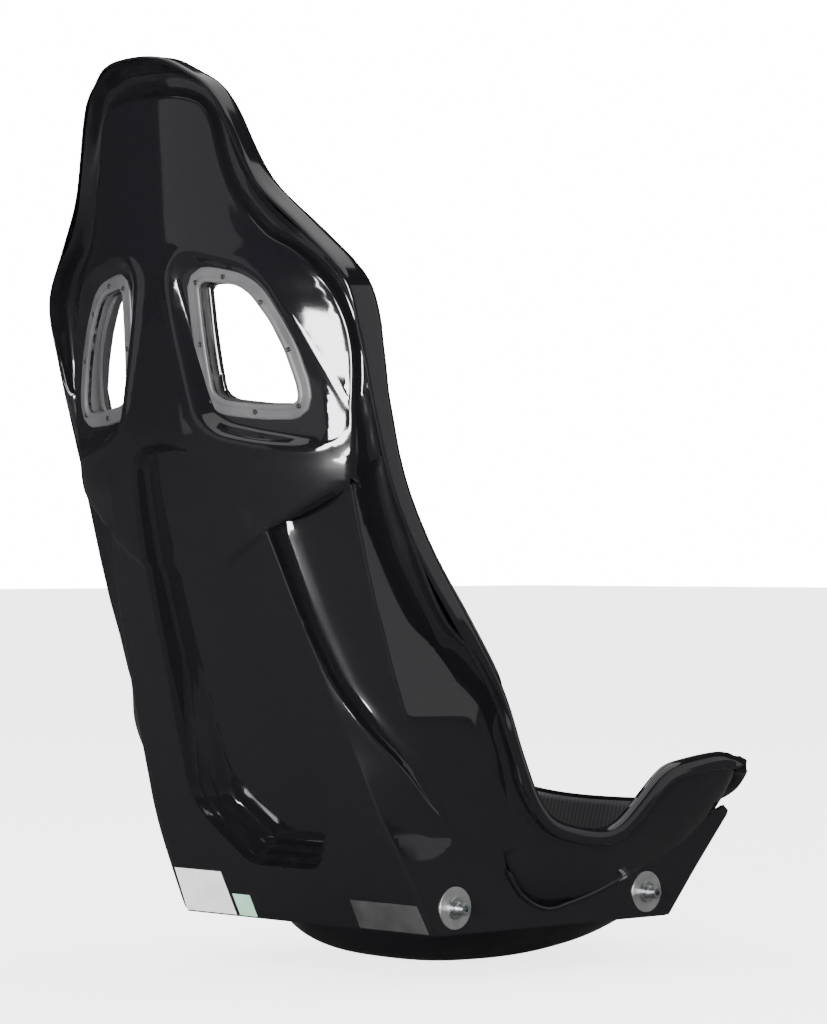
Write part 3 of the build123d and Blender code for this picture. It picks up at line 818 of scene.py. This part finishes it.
# The bolsters stand further forward than the rim: how far, by the height of the rim.
bolster_stand = [
    (-60, 7), (200, 8), (300, 11), (430, 13), (496, 14), (560, 17), (603, 22), (624, 26), (680, 26),
    (720, 25), (768, 22), (820, 20), (866, 20), (911, 18)
]
rim_path = bucket_points[:, -1]
rim_run = np.gradient(rim_path, axis=0)
rim_run /= np.linalg.norm(rim_run, axis=1)[:, None]
forwardness = soft_step((rim_path[:, 2] - 110) / 120)
forward = np.stack([0 * forwardness, -forwardness, 1 - forwardness], axis=1)
forward = forward - rim_run * np.sum(forward * rim_run, axis=1)[:, None]
forward[:, 0] = 0
forward /= np.linalg.norm(forward, axis=1)[:, None]
stand = np.interp(rim_path[:, 2], [k[0] for k in bolster_stand], [k[1] for k in bolster_stand])
starts = np.interp(rim_path[:, 2], [500, 565, 690, 740], [0.68, 0.80, 0.80, 0.70])
runs = np.interp(rim_path[:, 2], [500, 565, 690, 740], [0.20, 0.13, 0.13, 0.20])
side_share = soft_step((np.abs(shares)[None, :] - starts[:, None]) / runs[:, None])
head_share = soft_step((rim_path[:, 2] - 800) / 75)
bolster = np.maximum(side_share, head_share[:, None]) * stand[:, None]
bucket_points = bucket_points + forward[:, None, :] * bolster[:, :, None]
bucket_faces = grid_faces(bucket_rows, len(turns))
bucket_faces = consistent(bucket_points.reshape(-1, 3), bucket_faces, (0, 1, -1))
cloth_turn = np.array([[half_turn, -half_turn], [half_turn, half_turn]])
bucket = plain_mesh(
    "bucket", placed(bucket_points.reshape(-1, 3)), bucket_faces,
    bucket_cloth.reshape(-1, 2) @ cloth_turn
)

bucket.data.materials.append(gelcoat)
bucket.data.materials.append(carbon)
skin = bucket.modifiers.new("skin", "SOLIDIFY")
skin.thickness = bucket_skin
skin.offset = -1.0
skin.material_offset = 1
skin.material_offset_rim = 1


def turn_outwards(made):
    """Turns a closed mesh's faces outwards."""
    shaped = bmesh.new()
    shaped.from_mesh(made.data)
    bmesh.ops.recalc_face_normals(shaped, faces=shaped.faces)
    shaped.to_mesh(made.data)
    shaped.free()


opening_points = [placed([(x, ledge(x, z) + s, z) for x, z in opening_ring]) for s in (-90.0, 60.0)]
for side in (1, -1):
    count = len(opening_ring)
    ends = np.vstack(opening_points) * (side, 1, 1)
    ring = [(i, (i + 1) % count, count + (i + 1) % count, count + i) for i in range(count)]
    caps = [tuple(range(count - 1, -1, -1)), tuple(range(count, 2 * count))]
    cutter = plain_mesh("cutter", ends, ring + caps)
    turn_outwards(cutter)
    cut = bucket.modifiers.new("cut", "BOOLEAN")
    cut.object = cutter
    cut.operation = "DIFFERENCE"
mesh_tools(bucket)
for spare in [o for o in bpy.data.objects if o.name.startswith("cutter")]:
    bpy.data.objects.remove(spare)

# The rolled edge follows the bucket's outline all the way round.
with_stand = np.concatenate([bucket_points, bolster[:, :, None]], axis=2)
right = [with_stand[i, -1] for i in range(bucket_rows)]
left = [with_stand[i, 0] for i in range(bucket_rows - 1, -1, -1)]
front_lip = [with_stand[-1, c] for c in range(len(turns) - 2, 0, -1)]
head_lip = [with_stand[0, c] for c in range(1, len(turns) - 1)]
edge_path = resampled(np.array(right + front_lip + left + head_lip), 6.0)
for _ in range(6):
    edge_path = (np.roll(edge_path, 1, axis=0) + edge_path * 2 + np.roll(edge_path, -1, axis=0)) / 4
edge_path, edge_stand = edge_path[:, :3], edge_path[:, 3]
lip_radius = 8.0
lip_return = 8.0  # the lip's straight side carries on this far behind the bucket's edge
lip_hem_radius = 3.0
edge_along = np.roll(edge_path, -3, axis=0) - np.roll(edge_path, 3, axis=0)
edge_along /= np.linalg.norm(edge_along, axis=1)[:, None]
# The laminate faces forward at the back, upwards beside the thighs and backwards at the front lip.
backness = soft_step((edge_path[:, 2] - 110) / 120)
facing_sitter = np.stack([0 * backness, -backness, 1 - backness], axis=1)
across_front = soft_step((np.abs(edge_along[:, 0]) - 0.3) / 0.5) * (edge_path[:, 2] < 300)
facing_sitter = facing_sitter * (
    1 - across_front[:, None]
) + np.array([0.0, 0.95, 0.3]) * across_front[:, None]
edge_in = facing_sitter - edge_along * np.sum(facing_sitter * edge_along, axis=1)[:, None]
edge_in /= np.linalg.norm(edge_in, axis=1)[:, None]
for _ in range(8):
    edge_in = (np.roll(edge_in, 1, axis=0) + edge_in * 2 + np.roll(edge_in, -1, axis=0)) / 4
edge_out = np.cross(edge_along, edge_in)
edge_out /= np.linalg.norm(edge_out, axis=1)[:, None]
seat_middle = np.array([0.0, -60.0, 400.0])
edge_out *= np.sign(np.sum(edge_out * (edge_path - seat_middle), axis=1))[:, None]
lip_points, lip_cloth = [], []
lip_at = length_along(np.vstack([edge_path, edge_path[:1]]))[:-1]
side_length = edge_stand + lip_return - lip_radius
# (inside the edge, share of the roll, share of the side, share of the hem)
lip_steps = [(-5.0, 0.0, 0.0, 0.0)]
lip_steps += [(0.0, u, 0.0, 0.0) for u in np.linspace(0, 1, 7)]
lip_steps += [(0.0, 1.0, u, 0.0) for u in (0.25, 0.5, 0.75, 1.0)]
lip_steps += [(0.0, 1.0, 1.0, u) for u in (0.35, 0.7, 1.0)]
lip_columns = len(lip_steps)
for inside, roll, side, hem in lip_steps:
    out = inside + lip_radius * math.sin(roll * math.pi / 2) - lip_hem_radius * (
        1 - math.cos(hem * math.pi / 2)
    )
    back = lip_radius * (
        1 - math.cos(roll * math.pi / 2)
    ) + side_length * side + lip_hem_radius * math.sin(hem * math.pi / 2)
    back = back + np.zeros(len(edge_path))
    lip_points.append(edge_path + edge_out * out - edge_in * back[:, None])
    lip_cloth.append(
        np.stack([lip_at, inside + (roll * 1.57 * lip_radius) + side_length * side + hem * 4.0], axis=1)
    )
lip_points = np.array(lip_points).transpose(1, 0, 2)
lip_cloth = np.array(lip_cloth).transpose(1, 0, 2) * to_metres
count = len(edge_path)
index = np.arange(count * lip_columns).reshape(count, lip_columns)
lip_faces = np.stack(
    [
        index, np.roll(index, -1, axis=0), np.roll(np.roll(index, -1, axis=0), -1, axis=1),
        np.roll(index, -1, axis=1)
    ],
    axis=-1
)[:, :-1].reshape(-1, 4)
flat_lip = lip_points.reshape(-1, 3)
middle_of_lip = np.repeat(
    edge_path - edge_in * lip_radius - edge_out * 2, lip_columns, axis=0
)[lip_faces[:, 0]]
lip_faces = facing_out(flat_lip, lip_faces, middle_of_lip)
rolled_edge = plain_mesh(
    "rolled_edge", placed(flat_lip), lip_faces, lip_cloth.reshape(-1, 2) @ cloth_turn
)
rolled_edge.data.materials.append(gelcoat)
mesh_tools(rolled_edge, skin=0.0018)
for piece, slot in ((bucket, "carbon_laminate"), (rolled_edge, "gloss_gelcoat")):
    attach(piece, "root")
    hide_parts("inner_shell")

# ---- Harness window bezels -----------------------------------------------------------------------------
# Satin injection-moulded frames, one behind and one in front of each window. The rear one has a raised
# inner bead and a sleeve that lines the opening through to the bucket.

trim, w, shader, place = new_material("satin_moulded_trim")
wear = w.node("ShaderNodeGroup", {"node_tree": handling}, Vector=place, Scale=14.0)
w.join(
    w.mix(wear.outputs["Smudge"], (0.050, 0.050, 0.053, 1), (0.066, 0.066, 0.068, 1)),
    shader.inputs["Base Color"]
)
w.join(w.remap(wear.outputs["Smudge"], 0.0, 1.0, 0.34, 0.46), shader.inputs["Roughness"])
grain = w.noise(place, 1400.0, 2.0)
w.join(
    w.node("ShaderNodeBump", None, Strength=0.12, Distance=0.0003, Height=grain).outputs["Normal"],
    shader.inputs["Normal"]
)

ledge_normal = np.array([0.2524, 1.0, -0.0945])
ledge_normal /= np.linalg.norm(ledge_normal)


def bezel_band(profile, ring):
    """A closed band round the opening: profile is (outwards from the opening, height off the ledge)."""
    band = []
    for out, height in profile:
        moved = grown(ring, out)
        flat_band = np.stack([moved[:, 0], ledge(moved[:, 0], moved[:, 1]), moved[:, 1]], axis=1)
        band.append(flat_band + ledge_normal * height)
    band = np.array(band)
    rings, count = band.shape[:2]
    index = np.arange(rings * count).reshape(rings, count)
    faces = np.stack(
        [
            index, np.roll(index, -1, axis=1), np.roll(np.roll(index, -1, axis=1), -1, axis=0),
            np.roll(index, -1, axis=0)
        ],
        axis=-1
    )
    return band.reshape(-1, 3), faces.reshape(-1, 4)


rear_profile = [
    (0.0, -24.0), (0.0, 1.6), (0.4, 2.6), (1.2, 3.2), (2.6, 3.4), (4.4, 3.3), (5.6, 2.6), (7.0, 2.3),
    (11.0, 2.1), (14.2, 1.9), (15.5, 1.3), (16.0, 0.2), (16.0, -0.8), (2.0, -0.8), (2.0, -24.0)
]
for side, name in ((1, "left"), (-1, "right")):
    points, faces = bezel_band(rear_profile, opening_ring)
    points = points * (side, 1, 1)
    frame_piece = plain_mesh("window_frame_rear_" + name, placed(points), faces)
    turn_outwards(frame_piece)
    frame_piece.data.materials.append(trim)
    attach(frame_piece, "root")
    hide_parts("rear_bezel_" + name)
    frame["nodes"]["front_bezel_" + name].data.materials.clear()
    frame["nodes"]["front_bezel_" + name].data.materials.append(trim)

# ---- Bezel screws --------------------------------------------------------------------------------------
# Small blackened screws with a raised rim round a shallow socket, eight round each window.

blackened, w, shader, place = new_material("blackened_screw")
w.join(
    w.mix(w.noise(place, 900.0), (0.02, 0.02, 0.02, 1), (0.07, 0.065, 0.06, 1)),
    shader.inputs["Base Color"]
)
shader.inputs["Metallic"].default_value = 0.8
w.join(w.remap(w.noise(place, 300.0), 0.0, 1.0, 0.25, 0.45), shader.inputs["Roughness"])

screw_plan = [
    (-60.8, 64.5), (-25.8, 69.0), (19.4, 41.2), (49.6, -8.2), (57.7, -65.9), (2.8, -71.0),
    (-53.8, -59.5), (-60.1, 0.4)
]
screw_head_radius, screw_head_height = 0.0027, 0.0012
head_profile = [
    (0.0, 0.35), (0.42, 0.35), (0.46, 1.0), (0.80, 0.92), (0.97, 0.62), (1.0, 0.2), (1.0, -0.5)
]
sides = 12
head_points = [(0.0, 0.0, head_profile[0][1] * screw_head_height)]
for share, height in head_profile[1:]:
    for k in range(sides):
        angle = 2 * math.pi * k / sides
        radius = share * screw_head_radius
        head_points.append(
            (radius * math.cos(angle), radius * math.sin(angle), height * screw_head_height)
        )
head_faces = [(0, 1 + k, 1 + (k + 1) % sides) for k in range(sides)]
for ring_no in range(len(head_profile) - 2):
    base = 1 + ring_no * sides
    head_faces += [
        (base + k, base + sides + k, base + sides + (k + 1) % sides, base + (k + 1) % sides)
        for k in range(sides)
    ]
last_ring = 1 + (len(head_profile) - 2) * sides
head_faces.append(tuple(last_ring + k for k in range(sides - 1, -1, -1)))
screw_head = plain_mesh("screw_head_master", head_points, head_faces)

tree = bpy.data.node_groups.new("screws_on_spots", "GeometryNodeTree")
tree.interface.new_socket("Geometry", in_out="INPUT", socket_type="NodeSocketGeometry")
tree.interface.new_socket("Screw", in_out="INPUT", socket_type="NodeSocketObject")
tree.interface.new_socket(
    "Head scale", in_out="INPUT", socket_type="NodeSocketFloat"
).default_value = 1.0
tree.interface.new_socket("Finish", in_out="INPUT", socket_type="NodeSocketMaterial")
tree.interface.new_socket("Geometry", in_out="OUTPUT", socket_type="NodeSocketGeometry")
w = Wiring(tree)
group_in, group_out = tree.nodes.new("NodeGroupInput"), tree.nodes.new("NodeGroupOutput")
info = w.node("GeometryNodeObjectInfo", None, Object=group_in.outputs["Screw"])
stands_along = w.node(
    "GeometryNodeInputNamedAttribute", {"data_type": "FLOAT_VECTOR"}, Name="stands_along"
)
aligned = w.node("FunctionNodeAlignRotationToVector", {"axis": "Z"}, Vector=stands_along.outputs[0])
on_points = w.node(
    "GeometryNodeInstanceOnPoints", None, Points=group_in.outputs["Geometry"],
    Instance=info.outputs["Geometry"], Rotation=aligned.outputs[0], Scale=group_in.outputs["Head scale"]
)
real = w.node("GeometryNodeRealizeInstances", None, Geometry=on_points.outputs[0])
finish = w.node(
    "GeometryNodeSetMaterial", None, Geometry=real.outputs[0], Material=group_in.outputs["Finish"]
)
w.join(finish.outputs[0], group_out.inputs["Geometry"])
for side, name in ((1, "left"), (-1, "right")):
    spots = np.array(
        [(window_x + u / window_turn, 0, window_z + v / window_tilt) for u, v in screw_plan]
    )
    spots[:, 1] = ledge(spots[:, 0], spots[:, 2])
    spots = (spots + ledge_normal * 2.6) * (side, 1, 1)
    screws = plain_mesh("window_screws_" + name, placed(spots), [])
    layer = screws.data.attributes.new("stands_along", "FLOAT_VECTOR", "POINT")
    layer.data.foreach_set(
        "vector", np.tile(ledge_normal * (side, 1, 1), (len(spots), 1)).astype(np.float32).ravel()
    )
    tool = screws.modifiers.new("screws", "NODES")
    tool.node_group = tree
    named = {item.name: item.identifier for item in tree.interface.items_tree if item.in_out == "INPUT"}
    tool[named["Screw"]] = screw_head
    tool[named["Finish"]] = blackened
    mesh_tools(screws)
    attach(screws, "root")
    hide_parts("bezel_screws_" + name)
bpy.data.objects.remove(screw_head)

# ---- Side mount hardware -------------------------------------------------------------------------------
# Each side mount is a penny washer, a thinner washer, a spacer collar and a cap screw, stacked on a steel
# insert behind the wall. The washers are stamped and tumbled, the collar is turned, and the rest is plated.


def metal(name, bright, dark, roughness, ring_scale):
    """A bare or plated metal with turning lines round the X axis and light scuffs."""
    material, w, shader, place = new_material(name)
    wear = w.node("ShaderNodeGroup", {"node_tree": handling}, Vector=place, Scale=40.0)
    lines = w.noise(
        w.node(
            "ShaderNodeMapping", None, Vector=place, Scale=(ring_scale, 60.0, 60.0)
        ).outputs["Vector"],
        1.0, 3.0
    )
    w.join(w.mix(wear.outputs["Smudge"], bright, dark), shader.inputs["Base Color"])
    shader.inputs["Metallic"].default_value = 1.0
    w.join(w.remap(lines, 0.3, 0.7, roughness, roughness + 0.14), shader.inputs["Roughness"])
    w.join(
        w.node("ShaderNodeBump", None, Strength=0.15, Distance=0.0002, Height=lines).outputs["Normal"],
        shader.inputs["Normal"]
    )
    return material


stainless = metal("tumbled_stainless", (0.62, 0.62, 0.61, 1), (0.45, 0.45, 0.45, 1), 0.30, 60.0)
zinc = metal("bright_zinc", (0.50, 0.52, 0.54, 1), (0.30, 0.31, 0.32, 1), 0.18, 400.0)
turned = metal("turned_collar", (0.60, 0.60, 0.60, 1), (0.42, 0.42, 0.43, 1), 0.22, 2500.0)
insert = metal("insert_steel", (0.30, 0.30, 0.31, 1), (0.20, 0.20, 0.21, 1), 0.40, 200.0)
finishes = {
    "penny_washer": stainless, "flat_washer": zinc, "spacer_collar": turned, "cap_screw": zinc,
    "mount_insert": insert
}
for node_name, node in frame["nodes"].items():
    for start_of_name, finish in finishes.items():
        if node_name.startswith(start_of_name):
            node.data.materials.clear()
            node.data.materials.append(finish)

# ---- Labels --------------------------------------------------------------------------------------------
# Blank stickers on the lower back: thin printed film with a slightly lifted, handled surface.


def film(name, colour, shade):
    material, w, shader, place = new_material(name)
    wear = w.node("ShaderNodeGroup", {"node_tree": handling}, Vector=place, Scale=25.0)
    w.join(w.mix(wear.outputs["Smudge"], colour, shade), shader.inputs["Base Color"])
    w.join(w.remap(wear.outputs["Wave"], 0.3, 0.7, 0.32, 0.5), shader.inputs["Roughness"])
    w.join(
        w.node(
            "ShaderNodeBump", None, Strength=0.1, Distance=0.0005, Height=wear.outputs["Wave"]
        ).outputs["Normal"],
        shader.inputs["Normal"]
    )
    return material


films = {
    "label_white": film("white_film", (0.62, 0.63, 0.62, 1), (0.50, 0.51, 0.50, 1)),
    "label_green": film("green_film", (0.28, 0.50, 0.37, 1), (0.22, 0.42, 0.30, 1)),
    "label_dark": film("dark_film", (0.022, 0.022, 0.022, 1), (0.035, 0.035, 0.035, 1)),
}
for node_name, finish in films.items():
    node = frame["nodes"][node_name]
    node.data.materials.clear()
    node.data.materials.append(finish)

# ---- Studio --------------------------------------------------------------------------------------------
# A pale floor in white surroundings, a broad overhead panel, and three upright panels whose reflections
# draw the highlights along the mouldings. The floor and the surroundings look dark in the seat's gloss.

floor_mesh = bpy.data.meshes.new("floor")
reach = 40.0
floor_corners = [(-reach, -reach, 0), (reach, -reach, 0), (reach, reach, 0), (-reach, reach, 0)]
floor_mesh.from_pydata(floor_corners, [], [(0, 1, 2, 3)])
floor = bpy.data.objects.new("floor", floor_mesh)
bpy.context.collection.objects.link(floor)
pale, w, shader, place = new_material("pale_floor")
white = w.mix(w.noise(place, 3.0), (0.86, 0.86, 0.86, 1), (0.88, 0.88, 0.88, 1))
rays = w.node("ShaderNodeLightPath")
w.join(w.mix(rays.outputs["Is Glossy Ray"], white, (0.06, 0.06, 0.06, 1)), shader.inputs["Base Color"])
shader.inputs["Emission Color"].default_value = (1, 1, 1, 1)
w.join(w.math("MULTIPLY", rays.outputs["Is Camera Ray"], 3.0), shader.inputs["Emission Strength"])
shader.inputs["Roughness"].default_value = 0.7
floor_mesh.materials.append(pale)

world = bpy.data.worlds.new("studio")
bpy.context.scene.world = world
world.use_nodes = True
sky = world.node_tree.nodes["Background"]
w = Wiring(world.node_tree)
sky.inputs["Color"].default_value = (1.0, 1.0, 1.0, 1)
path = w.node("ShaderNodeLightPath")
lit = w.remap(path.outputs["Is Glossy Ray"], 0.0, 1.0, 1.25, 0.03)
w.join(
    w.math("ADD", lit, w.math("MULTIPLY", path.outputs["Is Camera Ray"], 15.0)), sky.inputs["Strength"]
)


def panel_light(name, place, aim, width, height, power):
    data = bpy.data.lights.new(name, "AREA")
    data.shape = "RECTANGLE"
    data.size, data.size_y, data.energy = width, height, power
    made = bpy.data.objects.new(name, data)
    made.location = place
    made.rotation_euler = (Vector(aim) - Vector(place)).to_track_quat("-Z", "Y").to_euler()
    bpy.context.collection.objects.link(made)


panel_light("side_panel", (-2.1, -1.9, 1.15), (0.0, 0.0, 1.05), 3.0, 2.2, 13)
panel_light("shoulder_panel", (-1.95, 3.5, 0.52), (0.0, 0.1, 0.52), 1.3, 1.1, 330)
panel_light("wall_panel", (1.35, 3.4, 1.2), (0.0, 0.1, 0.9), 2.9, 2.3, 9)
panel_light("top_panel", (0.0, 0.0, 4.2), (0.0, 0.0, 0.0), 6.0, 6.0, 160)

camera_data = bpy.data.cameras.new("camera")
camera_data.lens = 133.9
camera_data.sensor_width = 36.0
camera = bpy.data.objects.new("camera", camera_data)
bpy.context.collection.objects.link(camera)
camera.location = (-3.0905, 2.7216 + ahead_of_origin * to_metres, 0.3951 + above_origin * to_metres)
heading = math.radians(47.0)
pitch = math.radians(0.68)
aim = Vector(
    (math.sin(heading) * math.cos(pitch), -math.cos(heading) * math.cos(pitch), math.sin(pitch))
)
camera.rotation_euler = aim.to_track_quat("-Z", "Y").to_euler()
bpy.context.scene.camera = camera
